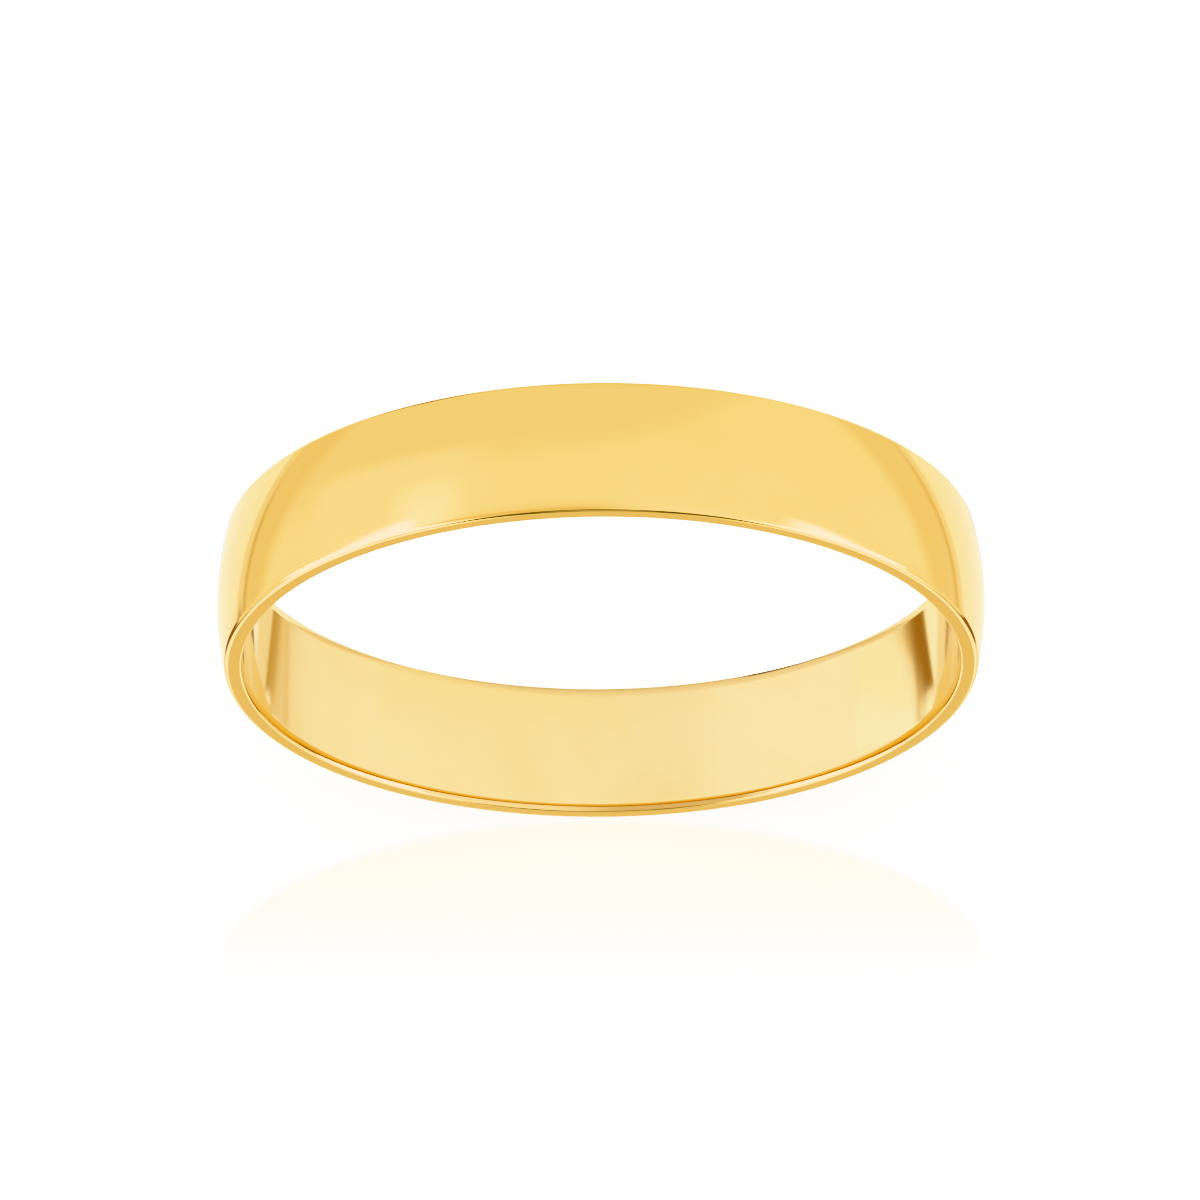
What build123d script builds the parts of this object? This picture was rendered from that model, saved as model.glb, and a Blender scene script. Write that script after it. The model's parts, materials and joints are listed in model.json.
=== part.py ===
from build123d import *
import math
import os

# Plain wedding band in yellow gold: one closed ring, a low dome outside and a flat bore inside.
#
# Frame, in millimetres. The origin is the centre of the finger hole, +Y runs along the finger and
# +Z is the top of the ring as it stands on its edge. The band is symmetric about the XZ plane.

os.makedirs("parts", exist_ok=True)

# ---- Driving dimensions -------------------------------------------------------------------

band_width = 4.0            # along the finger, from one side face to the other
finger_diameter = 20.6      # bore of the ring, US size 11
crown_thickness = 0.78      # wall at the middle of the dome
dome_rise = 0.23            # how far the middle stands above the edges of the dome
shoulder_radius = 0.15      # rounding between the dome and each side face
bore_edge_radius = 0.10     # eased edge between the bore and each side face
gold_density = 0.0131       # grams per cubic millimetre, 14 carat yellow gold

# ---- Worked out from them -----------------------------------------------------------------

half_width = band_width / 2
bore_radius = finger_diameter / 2
crown_radius = bore_radius + crown_thickness
shoulder_height = crown_radius - dome_rise


# ---- Band ---------------------------------------------------------------------------------

# The section is drawn at the top of the ring, on the YZ plane: its width lies along the finger
# and its height is the distance from the finger's axis. Turning it once round that axis makes
# the whole ring, as a lathe would.
with BuildPart() as band:
    with BuildSketch(Plane.YZ) as section:
        with BuildLine():
            dome = ThreePointArc(
                (-half_width, shoulder_height),
                (0, crown_radius),
                (half_width, shoulder_height),
            )
            Polyline(
                dome @ 1,
                (half_width, bore_radius),
                (-half_width, bore_radius),
                dome @ 0,
            )
        make_face()
        corners_by_height = section.vertices().group_by(Axis.Y)
        fillet(corners_by_height[0], bore_edge_radius)
        fillet(corners_by_height[-1], shoulder_radius)
    revolve(axis=Axis.Y)

band.part.label = "band"
export_step(band.part, "parts/band.step")

# ---- Summary ------------------------------------------------------------------------------

dome_radius = (half_width**2 + dome_rise**2) / (2 * dome_rise)
dome_slope = math.asin(half_width / dome_radius)
shoulder_depth = shoulder_radius * math.tan((math.pi / 2 - dome_slope) / 2)
flat_width = shoulder_height - shoulder_depth - bore_radius - bore_edge_radius
bore_length = band_width - 2 * bore_edge_radius
mean_circumference = math.pi * (bore_radius + crown_radius)
grams = band.part.volume * gold_density

print(f"outside diameter {2 * crown_radius:.2f} mm, bore {finger_diameter:.2f} mm")
print(f"dome radius {dome_radius:.2f} mm, side face {flat_width:.2f} mm wide")
print(f"straight wall of the bore {bore_length:.2f} mm, blank {mean_circumference:.1f} mm long")
print(f"volume {band.part.volume:.1f} mm3, {grams:.2f} g in 14 carat gold")
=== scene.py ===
# %% [markdown]
# # A plain gold wedding band
#
# The object is one closed ring of yellow gold, 4 mm wide, with a low dome outside and a flat wall
# inside. It has no stone and no second part, so everything rests on three things: an exact section,
# a believable polish, and surroundings worth reflecting. A mirror has no look of its own. What we
# call the look of polished gold is the room around it, tinted by the metal.

# %% Load the frame
import json
import math

import bpy
from mathutils import Matrix, Vector


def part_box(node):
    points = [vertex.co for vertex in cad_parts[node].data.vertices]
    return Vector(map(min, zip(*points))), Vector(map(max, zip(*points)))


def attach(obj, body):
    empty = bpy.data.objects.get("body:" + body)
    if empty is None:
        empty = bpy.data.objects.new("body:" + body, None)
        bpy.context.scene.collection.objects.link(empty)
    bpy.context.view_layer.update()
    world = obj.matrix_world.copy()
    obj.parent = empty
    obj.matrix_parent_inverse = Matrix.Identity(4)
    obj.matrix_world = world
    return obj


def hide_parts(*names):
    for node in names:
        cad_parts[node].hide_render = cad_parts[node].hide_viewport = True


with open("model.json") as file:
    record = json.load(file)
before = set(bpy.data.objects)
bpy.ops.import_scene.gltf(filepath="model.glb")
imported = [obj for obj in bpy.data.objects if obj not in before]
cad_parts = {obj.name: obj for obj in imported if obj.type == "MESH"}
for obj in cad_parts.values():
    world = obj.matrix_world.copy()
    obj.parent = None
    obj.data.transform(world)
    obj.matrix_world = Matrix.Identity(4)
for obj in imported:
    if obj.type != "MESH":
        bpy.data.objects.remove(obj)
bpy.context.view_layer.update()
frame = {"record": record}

# %% [markdown]
# ## Sizes
#
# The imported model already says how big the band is: its box gives the width and the outside, and
# the finger hole is a mount with a stated radius and length. Only the shape of the dome and of its
# two shoulders has to be repeated here. Working from the same few numbers keeps the mesh inside
# the designed size, to the hundredth of a millimetre.

# %% Sizes of the band
MM = 0.001

mounts = {mount["name"]: mount for mount in frame["record"]["mounts"]}
low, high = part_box("band")
half_width = high.y
crown_radius = high.z
bore_radius = mounts["finger_bore"]["dims"]["r_mm"] * MM
dome_rise = 0.23 * MM
shoulder = 0.15 * MM
bore_corner = 0.07 * MM
ease_radius = 0.9 * MM
ease_turn = math.radians(18)

print(f"outside {2 * crown_radius / MM:.2f} mm, bore {2 * bore_radius / MM:.2f} mm")
print(f"width {2 * half_width / MM:.2f} mm, shoulder {shoulder / MM:.2f} mm")

# %% [markdown]
# ## The section
#
# A goldsmith calls this a low dome or flat court section. Cut through the wall and you see one
# long arc on top, a small arc at each shoulder, two narrow flat faces and a straight wall. The
# wall does not meet the faces squarely: the maker eases it over the last third of a millimetre, so
# that it slips over a knuckle, and then turns a tiny corner. All of those are tangent to each
# other, which matters on a mirror finish: a step in direction would show as a hard line.
#
# So the section is built from arcs, each worked out from its centre and radius, and every point
# carries its exact normal. The polish is then as smooth as the maths, not as smooth as the mesh.

# %% Outline of the section
DOME_STEPS = 28
SHOULDER_STEPS = 18
FACE_STEPS = 4
EDGE_STEPS = 14
EASE_STEPS = 16
WALL_STEPS = 10
QUARTER = math.pi / 2

dome_radius = (half_width**2 + dome_rise**2) / (2 * dome_rise)
dome_centre = crown_radius - dome_radius
shoulder_y = half_width - shoulder
shoulder_height = dome_centre + math.sqrt((dome_radius - shoulder) ** 2 - shoulder_y**2)
shoulder_turn = math.atan2(shoulder_height - dome_centre, shoulder_y)


def arc(centre, radius, start, end, steps):
    """Points of an arc in the section, each as (along the finger, from the axis, normal angle)."""
    turns = [start + (end - start) * step / steps for step in range(steps + 1)]
    return [
        (centre[0] + radius * math.cos(turn), centre[1] + radius * math.sin(turn), turn)
        for turn in turns
    ]


def half_section():
    """The outline from the middle of the dome, over the shoulder, to the middle of the bore."""
    dome = arc((0, dome_centre), dome_radius, QUARTER, shoulder_turn, DOME_STEPS)
    corner = arc((shoulder_y, shoulder_height), shoulder, shoulder_turn, 0, SHOULDER_STEPS)
    ease_end = ease_turn - QUARTER
    corner_y = half_width - bore_corner
    rest = ease_radius - bore_corner
    ease_y = corner_y - rest * math.sin(ease_turn)
    ease_height = bore_radius + ease_radius
    corner_height = ease_height - rest * math.cos(ease_turn)
    edge = arc((corner_y, corner_height), bore_corner, 0, ease_end, EDGE_STEPS)
    ease = arc((ease_y, ease_height), ease_radius, ease_end, -QUARTER, EASE_STEPS)
    face_top, face_foot = corner[-1][1], edge[0][1]
    face = [
        (half_width, face_top + (face_foot - face_top) * step / FACE_STEPS, 0)
        for step in range(1, FACE_STEPS)
    ]
    wall = [
        (ease[-1][0] * (1 - step / WALL_STEPS), bore_radius, -QUARTER)
        for step in range(1, WALL_STEPS + 1)
    ]
    return dome + corner[1:] + face + edge + ease[1:] + wall


right_half = half_section()
left_half = [(-y, r, math.pi - turn) for y, r, turn in reversed(right_half[1:-1])]
section = right_half + left_half
print(f"{len(section)} points round the section, dome radius {dome_radius / MM:.2f} mm")

# %% [markdown]
# ## Turning the band
#
# On the bench a plain band is turned on a lathe, and a mesh can be made the same way. The section
# is copied round the finger's axis and neighbouring copies are joined with four-sided faces. The
# Screw modifier would do this too, but it works out its own normals. Here each point keeps the
# normal of its arc, and the last ring of faces closes on the first, so there is no seam.

# %% Turn the section round the finger
SEGMENTS = 540


def turned_band(outline, segments):
    """A closed ring mesh: the outline carried once round the Y axis."""
    points, normals, faces = [], [], []
    for segment in range(segments):
        angle = 2 * math.pi * segment / segments
        out = Vector((math.sin(angle), 0, math.cos(angle)))
        for y, radius, turn in outline:
            points.append(out * radius + Vector((0, y, 0)))
            normals.append(out * math.sin(turn) + Vector((0, math.cos(turn), 0)))
    count = len(outline)
    for segment in range(segments):
        here, there = segment * count, (segment + 1) % segments * count
        for place in range(count):
            after = (place + 1) % count
            faces.append((here + place, there + place, there + after, here + after))
    mesh = bpy.data.meshes.new("band_polished")
    mesh.from_pydata(points, [], faces)
    mesh.polygons.foreach_set("use_smooth", [True] * len(faces))
    mesh.validate()
    mesh.normals_split_custom_set_from_vertices(normals)
    return mesh


band = bpy.data.objects.new("band_polished", turned_band(section, SEGMENTS))
bpy.context.scene.collection.objects.link(band)
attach(band, "root")
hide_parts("band")
print(f"{len(band.data.polygons)} faces in the turned band")

# %% [markdown]
# ## Shader sums in plain Python
#
# Materials and lights below are worked out with a few sums. Wiring Math nodes by hand hides what
# they mean, so one small class wraps a node's output and lets Python's own operators add the
# nodes. `1 - mask` then reads as it should. The workbench class adds any other kind of node.


# %% Wires and the workbench
MIX_FIRST, MIX_SECOND, MIX_RESULT = 6, 7, 2  # the colour sockets of a Mix node


class Wire:
    """One number that varies, carried by the output of a node."""

    def __init__(self, bench, socket):
        self.bench = bench
        self.socket = socket

    def __add__(self, other):
        return self.bench.maths("ADD", self, other)

    def __sub__(self, other):
        return self.bench.maths("SUBTRACT", self, other)

    def __rsub__(self, other):
        return self.bench.maths("SUBTRACT", other, self)

    def __mul__(self, other):
        return self.bench.maths("MULTIPLY", self, other)

    def __truediv__(self, other):
        return self.bench.maths("DIVIDE", self, other)

    __radd__ = __add__
    __rmul__ = __mul__


class Bench:
    """A node tree, emptied, with one way of adding nodes to it."""

    def __init__(self, tree):
        self.tree = tree
        tree.nodes.clear()

    def node(self, kind, settings=None, inputs=None):
        """A new node. Its settings come first, then the values or links of its inputs."""
        made = self.tree.nodes.new(kind)
        for name, value in (settings or {}).items():
            setattr(made, name, value)
        for name, value in (inputs or {}).items():
            if isinstance(value, Wire):
                self.tree.links.new(value.socket, made.inputs[name])
            elif isinstance(value, bpy.types.NodeSocket):
                self.tree.links.new(value, made.inputs[name])
            else:
                made.inputs[name].default_value = value
        return made

    def value(self, kind, settings=None, inputs=None, output=0):
        """The chosen output of a new node, as a wire to do sums with."""
        return Wire(self, self.node(kind, settings, inputs).outputs[output])

    def maths(self, operation, *values):
        """A Math node of that operation on the values, in order."""
        return self.value("ShaderNodeMath", {"operation": operation}, dict(enumerate(values)))

    def rise(self, value, start, end):
        """0 below start, 1 above end and a smooth step between them."""
        smooth = {"interpolation_type": "SMOOTHSTEP"}
        edges = {"Value": value, "From Min": start, "From Max": end}
        return self.value("ShaderNodeMapRange", smooth, edges)

    def apart(self, vector):
        """The three parts of a vector, as wires."""
        parts = self.node("ShaderNodeSeparateXYZ", inputs={0: vector})
        return [Wire(self, part) for part in parts.outputs]

    def blend(self, factor, first, second):
        """A colour that goes from the first to the second as the factor goes from 0 to 1."""
        colours = {"Factor": factor, MIX_FIRST: first, MIX_SECOND: second}
        return self.node("ShaderNodeMix", {"data_type": "RGBA"}, colours).outputs[MIX_RESULT]


print("workbench ready")

# %% [markdown]
# ## Yellow gold
#
# Metal has no colour of its own under the gloss: the reflection itself is tinted, and towards a
# grazing angle it turns white. A metallic Principled shader does both. Real polish is never even.
# The outside was buffed to a mirror, while the inside was only reached by a felt finger, which
# leaves it softer and slightly clouded, with faint lines that run round it. Its paler gold is
# painted light, for the brighter reflection the bore catches. Where the wall eases over to the
# side face a thin darker line of painted shade is laid into the colour.
#
# So colour and roughness change from dome to bore and edge, the colour with painted light in the
# bore and painted shade at the edge, and a slow, shallow bump makes the reflections waver as they
# do in hand-polished metal. The tones come first: each finish has one for its bright patches and
# one for its deep ones.

# %% Tones and polish of the gold
GOLD = (1.0, 0.715, 0.2, 1.0)
GOLD_DEEP = (1.0, 0.70, 0.185, 1.0)
# painted light: a paler copy of the gold for the bore, standing for its brighter reflection
GOLD_BORE_PAINTED_LIGHT = (1.0, 0.80, 0.375, 1.0)
GOLD_BORE_PAINTED_LIGHT_DEEP = (1.0, 0.76, 0.295, 1.0)
# painted shade: a darker gold for the thin line along the bore's eased edge
GOLD_EDGE_PAINTED_SHADE = (0.78, 0.57, 0.23, 1.0)
MIRROR_ROUGHNESS = 0.045
BORE_ROUGHNESS = 0.075
CLOUD_ROUGHNESS = 0.02
# where the painted shade line lies
EDGE_LINE = (0.30 * MM, 0.12 * MM, 0.05 * MM)  # in from the face: where it starts, is full, ends
print("gold:", [round(v, 3) for v in GOLD[:3]])
print("roughness", MIRROR_ROUGHNESS, "outside and", BORE_ROUGHNESS, "in the bore")

# %% [markdown]
# A mask says with a number from 0 to 1 where a finish applies. It could be painted by hand on an
# image, but here the shape itself can say it. The distance from the finger's axis tells the bore
# from the dome, and the distance in from the side face tells the wall from its eased edge.


# %% Where the finish changes
def finish_zones(bench, radius, y):
    """Two masks: the bore's wall and the painted shade line where it eases over to the side face.
    """
    inward = half_width - bench.maths("ABSOLUTE", y)
    near_bore = 1 - bench.rise(radius, bore_radius + bore_corner, bore_radius + 2 * bore_corner)
    line_start, line_full, line_end = EDGE_LINE
    in_bore = near_bore * bench.rise(inward, line_end, line_start)
    line = 1 - bench.rise(inward, line_full, line_start)
    # painted shade: the mask of the dark line at the eased edge
    edge = near_bore * line * bench.rise(inward, 0.0, line_end)
    return in_bore, edge


print("edge line", [round(v / MM, 2) for v in EDGE_LINE], "mm in from the face")

# %% [markdown]
# Noise in the band's own space gives the slow clouds and waves. The fine lines are noise too, but
# read by the distance from the axis and the place along the finger, and not by the turn, so it
# draws rings, as a turning felt does. All of them are far too shallow to move the outline, so a
# Bump node, which only bends the light, is enough.

# %% Marks of the polishing mops
CLOUDS = {"Scale": 170.0, "Detail": 3.0, "Distortion": 0.6}
CLOUD_LIMITS = (0.35, 0.65)
WAVES = {"Scale": 120.0, "Detail": 1.0}
WAVE_SHARE = 0.6
LINES_OUTWARD = 400
LINES_ACROSS = 9000
LINE_SHARE = 0.004
BUMP_DISTANCE = 0.004 * MM
BUMP_STRENGTH = 0.4


def noise(bench, vector, settings):
    return bench.value("ShaderNodeTexNoise", inputs={"Vector": vector, **settings})


def polish_bump(bench, place, radius, y, in_bore):
    """Slow waves outside and fine lines round the bore, as a bent normal."""
    turned = {0: radius * LINES_OUTWARD, 1: y * LINES_ACROSS, 2: 0.0}
    round_lines = bench.node("ShaderNodeCombineXYZ", inputs=turned).outputs[0]
    lines = noise(bench, round_lines, {"Scale": 1.0})
    waves = noise(bench, place, WAVES)
    height = waves * (1 - in_bore) * WAVE_SHARE + lines * in_bore * LINE_SHARE
    bump = {"Height": height, "Distance": BUMP_DISTANCE, "Strength": BUMP_STRENGTH}
    return bench.node("ShaderNodeBump", inputs=bump).outputs[0]


print("bump at most", round(BUMP_DISTANCE * BUMP_STRENGTH / MM, 4), "mm")

# %% [markdown]
# The pieces now meet in one Principled shader. Metallic is the same everywhere, so it is set on
# the shader's own socket. Only colour, roughness and the normal change from place to place.


# %% Gold material
def gold_material():
    material = bpy.data.materials.new("yellow_gold_polished")
    material.use_nodes = True
    bench = Bench(material.node_tree)
    place = bench.node("ShaderNodeTexCoord").outputs["Object"]
    x, y, z = bench.apart(place)
    radius = bench.maths("SQRT", x * x + z * z)
    in_bore, edge = finish_zones(bench, radius, y)
    patches = bench.rise(noise(bench, place, CLOUDS), *CLOUD_LIMITS)
    outside = bench.blend(patches, GOLD, GOLD_DEEP)
    # painted light: the bore takes the paler copy of the gold
    inside = bench.blend(patches, GOLD_BORE_PAINTED_LIGHT, GOLD_BORE_PAINTED_LIGHT_DEEP)
    polished = bench.blend(in_bore, outside, inside)
    softer = in_bore * (BORE_ROUGHNESS - MIRROR_ROUGHNESS) + patches * CLOUD_ROUGHNESS
    finish = {
        "Metallic": 1.0,
        # painted shade: the dark edge line is laid over the colour
        "Base Color": bench.blend(edge, polished, GOLD_EDGE_PAINTED_SHADE),
        "Roughness": MIRROR_ROUGHNESS + softer,
        "Normal": polish_bump(bench, place, radius, y, in_bore),
    }
    shader = bench.node("ShaderNodeBsdfPrincipled", inputs=finish)
    bench.node("ShaderNodeOutputMaterial", inputs={"Surface": shader.outputs[0]})
    return material


band.data.materials.append(gold_material())
print(len(band.data.materials[0].node_tree.nodes), "nodes in the gold")

# %% [markdown]
# ## The light tent
#
# Jewellery is lit inside a tent of white cloth, because polished metal shows everything around
# it. What gives the metal its shape is where the tent is not even: brighter panels, dim gaps
# between them and the dark mouth that the lens looks through.
#
# The tent here is the World, so it is far away and fits every camera. A ring reflects its
# surroundings as bands round its own axis. So each panel is placed by two angles: how far round
# the finger's axis from straight up, and how far along from the far end of that axis. Each panel
# is laid over those before it, with a soft or a crisp edge. Bare cloth is white, and light that
# has come off wood, skin or the gold itself is warmer, so each panel has its own tint.


# %% What a panel is
FULL_TURN = 360


class Panel:
    """A cloth or card: where it hangs in degrees, its glow and tint and how soft its edges are."""

    def __init__(self, name, around, along, glow, tint, blur=(4, 4, 4, 4), lean=0):
        self.name = name
        self.around = around
        self.along = along
        self.colour = tuple(glow * part for part in tint) + (1.0,)
        self.blur = blur
        self.lean = lean

    def covers_round(self):
        start, end = self.around
        return end - start >= FULL_TURN


WHITE = (1.0, 1.0, 1.0)
IVORY = (1.0, 0.98, 0.9)
STRAW = (1.0, 0.96, 0.84)
HONEY = (1.0, 0.91, 0.77)
AMBER = (1.0, 0.87, 0.72)
BROWN = (1.0, 0.78, 0.5)
RUST = (1.0, 0.55, 0.32)
PEARL = (1.0, 1.05, 1.1)
CLOTH = Panel("cloth", (-180, 180), (0, 180), 1.2, (1.0, 0.965, 0.97))
print("bare cloth glows", [round(part, 2) for part in CLOTH.colour[:3]])

# %% [markdown]
# ### The panels, one by one
#
# Each row below is one panel: its name, where it starts and ends round the axis, where it starts
# and ends along it, its glow and its tint. Then come the widths over which its four edges fade,
# and its lean, which is how many degrees it slips round for each degree along.

# %% Panels of the tent
PANELS = (
    Panel("right_cloth", (36, 150), (-1, 181), 1.52, IVORY, (12, 6, 1, 1), -2.2),
    Panel("front_cloth", (-180, 180), (67, 181), 1.58, (1.0, 1.0, 0.97), (1, 1, 8, 1)),
    Panel("left_cloth", (-92, -38), (63, 84), 1.8, WHITE, (8, 12, 3, 3)),
    Panel("far_end", (-180, 180), (-1, 38), 0.95, STRAW, (1, 1, 1, 7)),
    Panel("left_haze", (-60, -44), (76, 92), 2.5, (1.0, 1.08, 1.3), (7, 7, 7, 7)),
    Panel("left_floor_card", (-200, -118), (36, 82), 1.95, (1.0, 1.05, 1.0), (1, 1.5, 4, 4), -0.85),
    Panel("right_floor_card", (118.5, 200), (18, 82), 1.95, (1.0, 1.05, 1.0), (1.5, 1, 4, 4), 0.75),
    Panel("left_fold", (-118, -111), (30, 84), 1.12, STRAW, (1.5, 1.5, 6, 6), -0.85),
    Panel("right_fold", (111.5, 118.5), (30, 84), 1.2, STRAW, (1.5, 1.5, 6, 6), 0.75),
    Panel("left_gap", (-113, -94), (40, 77.5), 1.02, HONEY, (1.2, 6, 4, 0.7), -0.85),
    Panel("right_gap", (90, 113.5), (38, 79), 1.1, HONEY, (6, 1.2, 4, 0.7), 0.8),
    Panel("left_seam", (-115, -112.5), (58, 79), 0.72, BROWN, (1, 2, 8, 1), -0.72),
    Panel("right_seam", (112, 114.5), (54, 80), 0.82, BROWN, (2, 1, 8, 1), 0.72),
    Panel("left_softbox", (-106, -56), (84, 150), 8, WHITE, (2, 3, 1, 2)),
    Panel("right_softbox", (60, 100), (84.3, 150), 9, WHITE, (8, 1.5, 1, 2)),
    Panel("front_right_cloth", (8, 56), (88, 150), 1.9, WHITE, (16, 6, 3, 3)),
    Panel("front_shade", (-48, 6), (89, 160), 0.98, AMBER, (5, 14, 3, 6)),
    Panel("left_wing", (-134, -107), (80, 150), 1.2, IVORY, (2, 2, 4, 4)),
    Panel("right_wing", (102, 132), (80, 150), 1.2, IVORY, (2, 2, 4, 4)),
    Panel("left_low_box", (-165, -70), (121, 152), 7, WHITE, (5, 5, 2, 3)),
    Panel("right_low_box", (70, 128), (118, 150), 6, WHITE, (5, 5, 2, 3)),
    Panel("left_slit", (-150.5, -134), (74, 101), 0.3, RUST, (2, 2, 3, 3)),
    Panel("right_slit", (133, 148), (76, 105), 0.3, RUST, (2, 2, 3, 3)),
    Panel("low_shade", (152, 208), (80, 93), 0.8, STRAW, (14, 14, 5, 5)),
    Panel("far_slit", (-98, -62), (22, 41), 0.22, RUST, (6, 5, 4, 4)),
    Panel("left_edge_light", (-171, -153), (107, 141), 4, PEARL, (2.5, 3, 3, 4)),
    Panel("right_edge_light", (153, 171), (107, 141), 4, PEARL, (3, 2.5, 3, 4)),
    Panel("left_edge_shade", (-165, -154), (98, 158), 0.3, RUST, (2, 2, 3, 3), 0.3),
    Panel("right_edge_shade", (154, 165), (98, 158), 0.3, RUST, (2, 2, 3, 3), -0.3),
    Panel("floor_in_front", (172, 188), (107, 150), 0.885, (1.0, 0.87, 0.69), (2, 2, 2, 4)),
    Panel("mouth_corner", (-141, -95), (144, 157), 0.2, RUST, (8, 8, 3, 3)),
    Panel("tent_mouth", (-180, 180), (154, 181), 0.12, BROWN, (1, 1, 3, 1)),
    Panel("lens_front", (-180, 180), (172, 181), 0.85, HONEY, (1, 1, 2, 1)),
)
print(len(PANELS), "panels, the brightest", max(max(panel.colour[:3]) for panel in PANELS))

# %% [markdown]
# ## Hanging the tent
#
# A mask for each panel comes from its angles, and a Mix node lays the panel over what hangs there
# already. Two more things keep the world believable. The camera and the matt floor look at plain
# white cloth instead, because panels as strong as these are there for the metal alone. And what
# the band shows of itself, a reflection in a reflection, is held down to an even gold: in a real
# tent the piece, its own shade and the floor fill that light in.

# %% Hang the panels
LEAN_FROM = 50
HALF_TURN = FULL_TURN / 2


def hang(bench, turn, tilt, glow, panel):
    """The tent's colour with one more panel laid over it."""
    low_end, high_end = panel.along
    before, after, low_blur, high_blur = panel.blur
    mask = 1 - bench.rise(tilt, high_end - high_blur, high_end + high_blur)
    if low_end > 0:
        mask = mask * bench.rise(tilt, low_end - low_blur, low_end + low_blur)
    if not panel.covers_round():
        start, end = panel.around
        middle, half = (start + end) / 2, (end - start) / 2
        leaning = (tilt - LEAN_FROM) * panel.lean if panel.lean else 0
        offset = bench.maths("WRAP", turn - middle - leaning, HALF_TURN, -HALF_TURN)
        opens = bench.rise(offset, -half - before, -half + before)
        closes = bench.rise(offset, half - after, half + after)
        mask = mask * (opens - closes)
    return bench.blend(mask, glow, panel.colour)


leaning_panels = [panel.name for panel in PANELS if panel.lean]
print(len(leaning_panels), "panels lean, from", LEAN_FROM, "degrees along")

# %% Light tent
BACKDROP_GLOW = 9.0
AGAIN_LIMIT = (1.6, 1.5, 1.2)  # the most that a second reflection takes from a panel
AGAIN_TONE = (1.06, 0.97, 0.7, 1.0)
AGAIN_EVENNESS = 0.85
AGAIN_DEPTH = (2.0, 3.0)  # the world counts a first reflection as 2 and a second one as 3


def tent_again(bench, glow):
    """The tent as a second reflection takes it: held down, and nearly even."""
    limits = {0: glow, 1: AGAIN_LIMIT}
    held = bench.node("ShaderNodeVectorMath", {"operation": "MINIMUM"}, limits).outputs[0]
    return bench.blend(AGAIN_EVENNESS, held, AGAIN_TONE)


def light_tent():
    world = bpy.data.worlds.new("light_tent")
    world.use_nodes = True
    bench = Bench(world.node_tree)
    x, y, z = bench.apart(bench.node("ShaderNodeTexCoord").outputs["Generated"])
    turn = bench.maths("ARCTAN2", x, z) * math.degrees(1)
    tilt = bench.maths("ARCCOSINE", y) * math.degrees(1)
    glow = CLOTH.colour
    for panel in PANELS:
        glow = hang(bench, turn, tilt, glow, panel)
    path = bench.node("ShaderNodeLightPath")
    bounced = bench.rise(Wire(bench, path.outputs["Ray Depth"]), *AGAIN_DEPTH)
    glow = bench.blend(bounced, glow, tent_again(bench, glow))
    tent = bench.node("ShaderNodeBackground", inputs={"Color": glow, "Strength": 1.0})
    plain_inputs = {"Color": WHITE + (1.0,), "Strength": BACKDROP_GLOW}
    plain = bench.node("ShaderNodeBackground", inputs=plain_inputs)
    by_camera = Wire(bench, path.outputs["Is Camera Ray"])
    by_matt = Wire(bench, path.outputs["Is Diffuse Ray"])
    choice = {0: by_camera + by_matt, 1: tent.outputs[0], 2: plain.outputs[0]}
    mixed = bench.node("ShaderNodeMixShader", inputs=choice)
    bench.node("ShaderNodeOutputWorld", inputs={"Surface": mixed.outputs[0]})
    world.cycles.sampling_method = "NONE"
    return world


bpy.context.scene.world = light_tent()
print(len(PANELS), "panels hung in the tent")

# %% [markdown]
# ## Flags and cards behind the band
#
# The tent looks the same from every point of the band, but the ends of the bore show soft dark
# streaks that a far tent can't give without darkening the outside too. Those streaks are the shade
# the band throws on the floor just behind it, as the bore reflects it, so the dim flags here are
# sheets of painted shade. In a studio small flags and cards are put close behind the piece for
# that. Each one here is a sheet with soft edges that only reflections can see, and only the first
# of them, so that it shows once and not again in the opposite wall. They lie below the floor and
# beside the band, where the bore sees them and the outside doesn't.

# %% A sheet with its own width and length
SHEET_PARTS = 12


def sheet_mesh(name, corners):
    """A grid of four-sided faces between four corners, with its own width and length as UV."""
    near_start, near_end, far_end, far_start = (Vector(corner) * MM for corner in corners)
    steps = [step / SHEET_PARTS for step in range(SHEET_PARTS + 1)]
    points, places = [], []
    for along in steps:
        for across in steps:
            near = near_start.lerp(near_end, across)
            far = far_start.lerp(far_end, across)
            points.append(near.lerp(far, along))
            places.append((across, along))
    row = SHEET_PARTS + 1
    faces = [
        (row * j + i, row * j + i + 1, row * (j + 1) + i + 1, row * (j + 1) + i)
        for j in range(SHEET_PARTS)
        for i in range(SHEET_PARTS)
    ]
    mesh = bpy.data.meshes.new(name)
    mesh.from_pydata(points, [], faces)
    layer = mesh.uv_layers.new(name="sheet")
    for loop in mesh.loops:
        layer.data[loop.index].uv = places[loop.vertex_index]
    return mesh


print("a sheet has", SHEET_PARTS**2, "faces")

# %% [markdown]
# ### The glow of a sheet
#
# A sheet's material glows evenly and is clear at its edges. Its four soft edge measures say over
# what part of the width each side fades, and over what part of the length each end does.

# %% What a sheet is made of
SHEET_DEPTH = (1.0, 2.0)  # a surface counts a first reflection as 1 and a second one as 2


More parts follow.
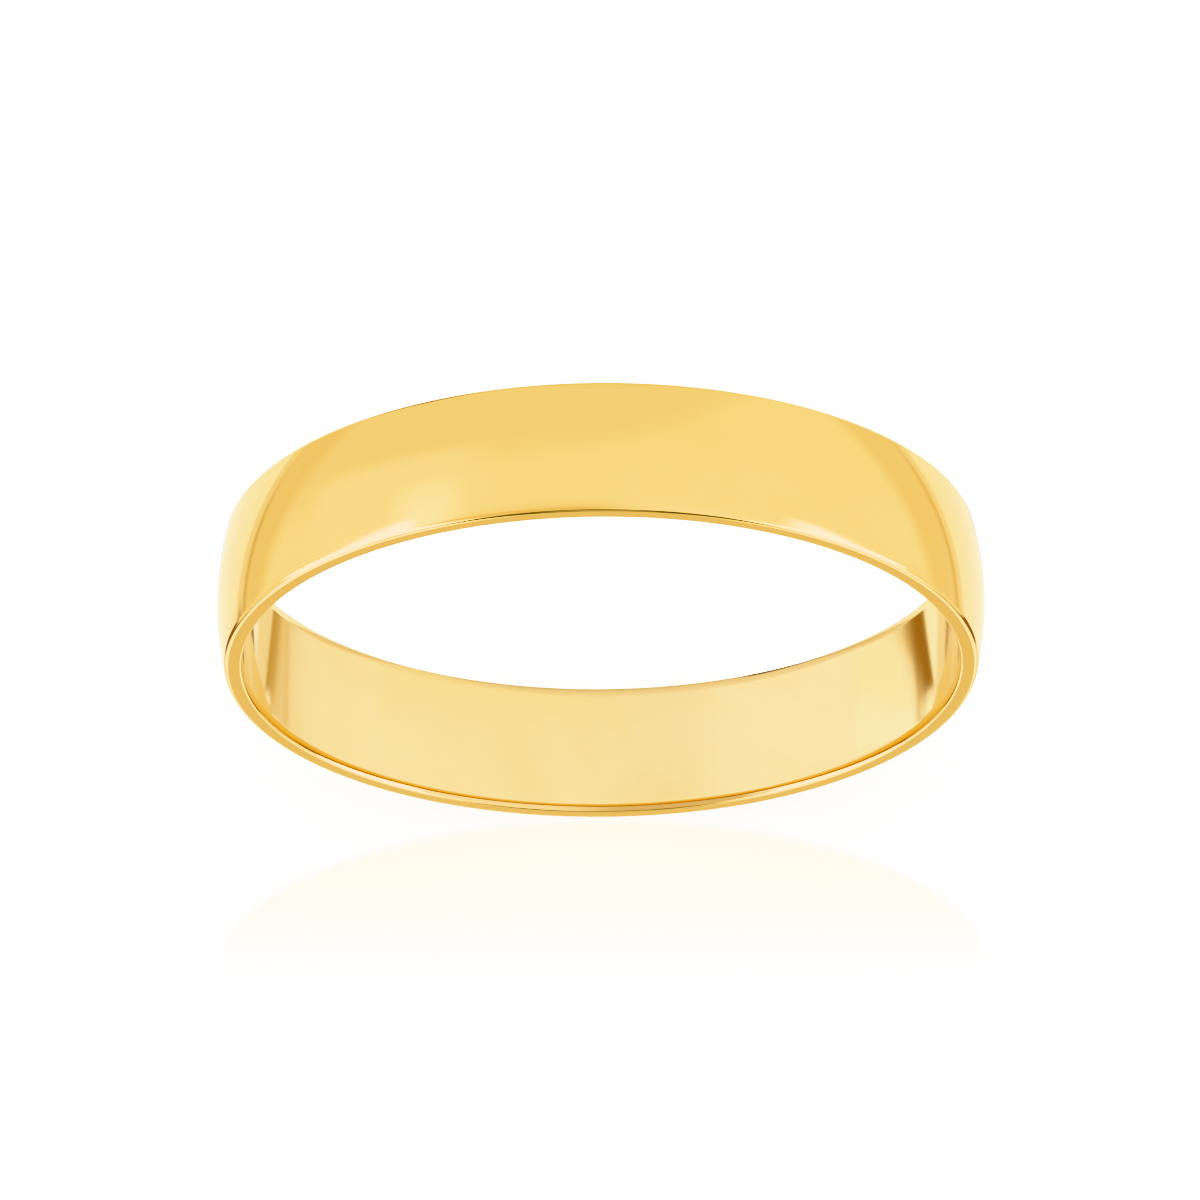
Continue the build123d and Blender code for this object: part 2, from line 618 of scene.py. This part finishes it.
def sheet_material(name, soft, glow, tint):
    """A sheet that glows evenly and fades to nothing at its edges."""
    material = bpy.data.materials.new(name)
    material.use_nodes = True
    bench = Bench(material.node_tree)
    across, along, _ = bench.apart(bench.node("ShaderNodeUVMap", {"uv_map": "sheet"}).outputs[0])
    start, end, near, far = soft
    mask = bench.rise(across, 0.0, start) * (1 - bench.rise(across, 1 - end, 1.0))
    mask = mask * bench.rise(along, 0.0, near) * (1 - bench.rise(along, 1 - far, 1.0))
    path = bench.node("ShaderNodeLightPath")
    mask = mask * (1 - bench.rise(Wire(bench, path.outputs["Ray Depth"]), *SHEET_DEPTH))
    lit = bench.node("ShaderNodeEmission", inputs={"Color": tint + (1.0,), "Strength": glow})
    clear = bench.node("ShaderNodeBsdfTransparent")
    choice = {0: mask, 1: clear.outputs[0], 2: lit.outputs[0]}
    mixed = bench.node("ShaderNodeMixShader", inputs=choice)
    bench.node("ShaderNodeOutputMaterial", inputs={"Surface": mixed.outputs[0]})
    return material


def hang_sheet(name, corners, soft, glow, tint):
    sheet = bpy.data.objects.new(name, sheet_mesh(name, corners))
    sheet.data.materials.append(sheet_material(name, soft, glow, tint))
    sheet.visible_camera = False
    sheet.visible_diffuse = False
    sheet.visible_shadow = False
    sheet.visible_transmission = False
    bpy.context.scene.collection.objects.link(sheet)


print("sheets fade between reflections", *SHEET_DEPTH)

# %% [markdown]
# ### Setting them
#
# The flags are level and lie under the floor. Flags that overlap lie in layers, one a little over
# the other, because two sheets at one height would flicker through each other. The cards stand
# upright to the left and right. All measures are in millimetres from the middle of the finger
# hole.

# %% Set the flags and cards
FLAG_DEPTH = -17.4
FLAG_GAP = 0.2
CARD_SIDE = 14.0
CARD_LOW = -22.0
CARD_HIGH = -4.0
CARD_NEAR = 6.5


def flag_under_floor(name, layer, plan, soft, glow, tint):
    """A level flag in its own layer, by its corners in plan."""
    depth = FLAG_DEPTH + layer * FLAG_GAP
    hang_sheet(name, [(x, y, depth) for x, y in plan], soft, glow, tint)


def card_beside(name, side, far, soft, glow, tint):
    """An upright card to the left or right, just behind the band."""
    plan = [(CARD_NEAR, CARD_LOW), (CARD_NEAR, CARD_HIGH), (far, CARD_HIGH), (far, CARD_LOW)]
    hang_sheet(name, [(side * CARD_SIDE, y, z) for y, z in plan], soft, glow, tint)


BISCUIT = (1.0, 0.88, 0.62)
CORK = (1.0, 0.8, 0.52)
TOFFEE = (1.0, 0.66, 0.26)
COFFEE = (1.0, 0.46, 0.1)
left_zone = ((2.1, 6.2), (12.8, 8.8), (13.8, 13.2), (4.9, 11.0))
left_outer = ((-4.0, 4.8), (1.0, 6.0), (3.9, 10.8), (-2.0, 9.4))
left_streak = ((0.2, 5.85), (5.4, 7.1), (9.0, 12.2), (3.4, 10.55))
right_streak = ((-1.3, 6.2), (-8.0, 7.6), (-20.5, 15.0), (-5.4, 11.2))
# painted shade: dim sheets standing for the band's shade on the floor behind it, as the bore sees
# it
flag_under_floor("flag_left_zone", 0, left_zone, (0.1, 0.85, 0.02, 0.02), 0.9, CORK)
flag_under_floor("flag_left_outer", 1, left_outer, (0.4, 0.05, 0.02, 0.05), 1.15, BISCUIT)
flag_under_floor("flag_left_streak", 2, left_streak, (0.14, 0.75, 0.2, 0.02), 0.6, TOFFEE)
flag_under_floor("flag_right_streak", 2, right_streak, (0.06, 0.8, 0.2, 0.02), 0.34, COFFEE)
card_beside("card_left", -1, 12.9, (0.2, 0.3, 0.05, 0.16), 1.7, PEARL)
card_beside("card_right", 1, 13.5, (0.6, 0.3, 0.05, 0.12), 1.5, IVORY)
print("four flags and two cards set")

# %% [markdown]
# ## Floor
#
# The band stands on its edge on a plain white floor. The floor is one large disc that touches the
# lowest point of the ring. A glossy table would show a faint mirror image of the band in front of
# it. This floor is matt, so a cream arch in its colour, which fades outwards, stands in for that as
# a painted reflection.

# %% Floor
FLOOR_RADIUS = 1.2
FLOOR_SIDES = 96
FLOOR_WHITE = (0.92, 0.92, 0.92, 1.0)
# painted reflection: the cream of the arch in front of the band
FLOOR_PAINTED_REFLECTION = (0.92, 0.84, 0.64, 1.0)
GLOW_START = 1.76 * MM
GLOW_DROP = 4.8 * MM
GLOW_HALF_WIDTH = 11.4 * MM
GLOW_FADE = (4.2 * MM, 7.3 * MM)
GLOW_EDGE = 0.5 * MM
GLOW_ENDS = 0.06  # how soon the glow fades in from either end of the arch


def floor_disc():
    turns = [2 * math.pi * side / FLOOR_SIDES for side in range(FLOOR_SIDES)]
    ring = [(FLOOR_RADIUS * math.cos(a), FLOOR_RADIUS * math.sin(a), low.z) for a in turns]
    mesh = bpy.data.meshes.new("floor")
    mesh.from_pydata(ring, [], [tuple(range(FLOOR_SIDES))])
    return bpy.data.objects.new("floor", mesh)


def floor_material():
    material = bpy.data.materials.new("floor_white")
    material.use_nodes = True
    bench = Bench(material.node_tree)
    x, y, _ = bench.apart(bench.node("ShaderNodeTexCoord").outputs["Object"])
    across = x / GLOW_HALF_WIDTH
    inside = bench.maths("MAXIMUM", 1 - across * across, 0.0)
    arch = GLOW_START + GLOW_DROP * (1 - bench.maths("SQRT", inside))
    forward = y * -1
    # painted reflection: where the cream arch lies
    glow = bench.rise(forward - arch, 0.0, GLOW_EDGE) * (1 - bench.rise(forward, *GLOW_FADE))
    colour = bench.blend(glow * bench.rise(inside, 0.0, GLOW_ENDS), FLOOR_WHITE, FLOOR_PAINTED_REFLECTION)
    matt = bench.node("ShaderNodeBsdfDiffuse", inputs={"Color": colour})
    bench.node("ShaderNodeOutputMaterial", inputs={"Surface": matt.outputs[0]})
    return material


floor = floor_disc()
floor.data.materials.append(floor_material())
floor.visible_glossy = False
bpy.context.scene.collection.objects.link(floor)
print("floor at", round(low.z / MM, 2), "mm")

# %% [markdown]
# ## Overhead light
#
# One broad soft light above fills the floor to white. It is kept out of the reflections, as a
# lamp outside the tent is hidden by the cloth.

# %% Overhead light
LAMP_HEIGHT = 0.8
LAMP_SIZE = 0.9
LAMP_POWER = 45.0
lamp_data = bpy.data.lights.new("overhead", "AREA")
lamp_data.size = LAMP_SIZE
lamp_data.energy = LAMP_POWER
lamp = bpy.data.objects.new("overhead", lamp_data)
lamp.location = (0, 0, LAMP_HEIGHT)
lamp.visible_glossy = False
lamp.visible_camera = False
bpy.context.scene.collection.objects.link(lamp)
print("overhead light", LAMP_POWER, "W")

# %% [markdown]
# ## Camera
#
# The view looks steeply down at the standing ring through a very long lens, so the far side is
# drawn almost as large as the near side.

# %% Camera
CAMERA_HEIGHT_ANGLE = math.radians(65.61)
CAMERA_DISTANCE = 334.3 * MM
LENS = 347.7
LEAN = math.radians(-0.372)
AIM_RIGHT = -0.024 * MM
AIM_UP = 0.161 * MM
CLIP_RATIO = 10

back = Vector((0, -math.cos(CAMERA_HEIGHT_ANGLE), math.sin(CAMERA_HEIGHT_ANGLE)))
up = Vector((0, math.sin(CAMERA_HEIGHT_ANGLE), math.cos(CAMERA_HEIGHT_ANGLE)))
aim = Vector((AIM_RIGHT, 0, 0)) + up * AIM_UP
position = back * CAMERA_DISTANCE
camera_data = bpy.data.cameras.new("camera")
camera_data.lens = LENS
camera_data.clip_start = CAMERA_DISTANCE / CLIP_RATIO
camera_data.clip_end = CAMERA_DISTANCE * CLIP_RATIO
camera = bpy.data.objects.new("camera", camera_data)
turned = (aim - position).to_track_quat("-Z", "Y").to_matrix().to_4x4()
camera.matrix_world = Matrix.Translation(position) @ turned @ Matrix.Rotation(LEAN, 4, "Z")
bpy.context.scene.collection.objects.link(camera)
bpy.context.scene.camera = camera
bpy.context.scene.view_settings.view_transform = "Khronos PBR Neutral"
print("camera at", [round(v / MM, 1) for v in position], "mm")
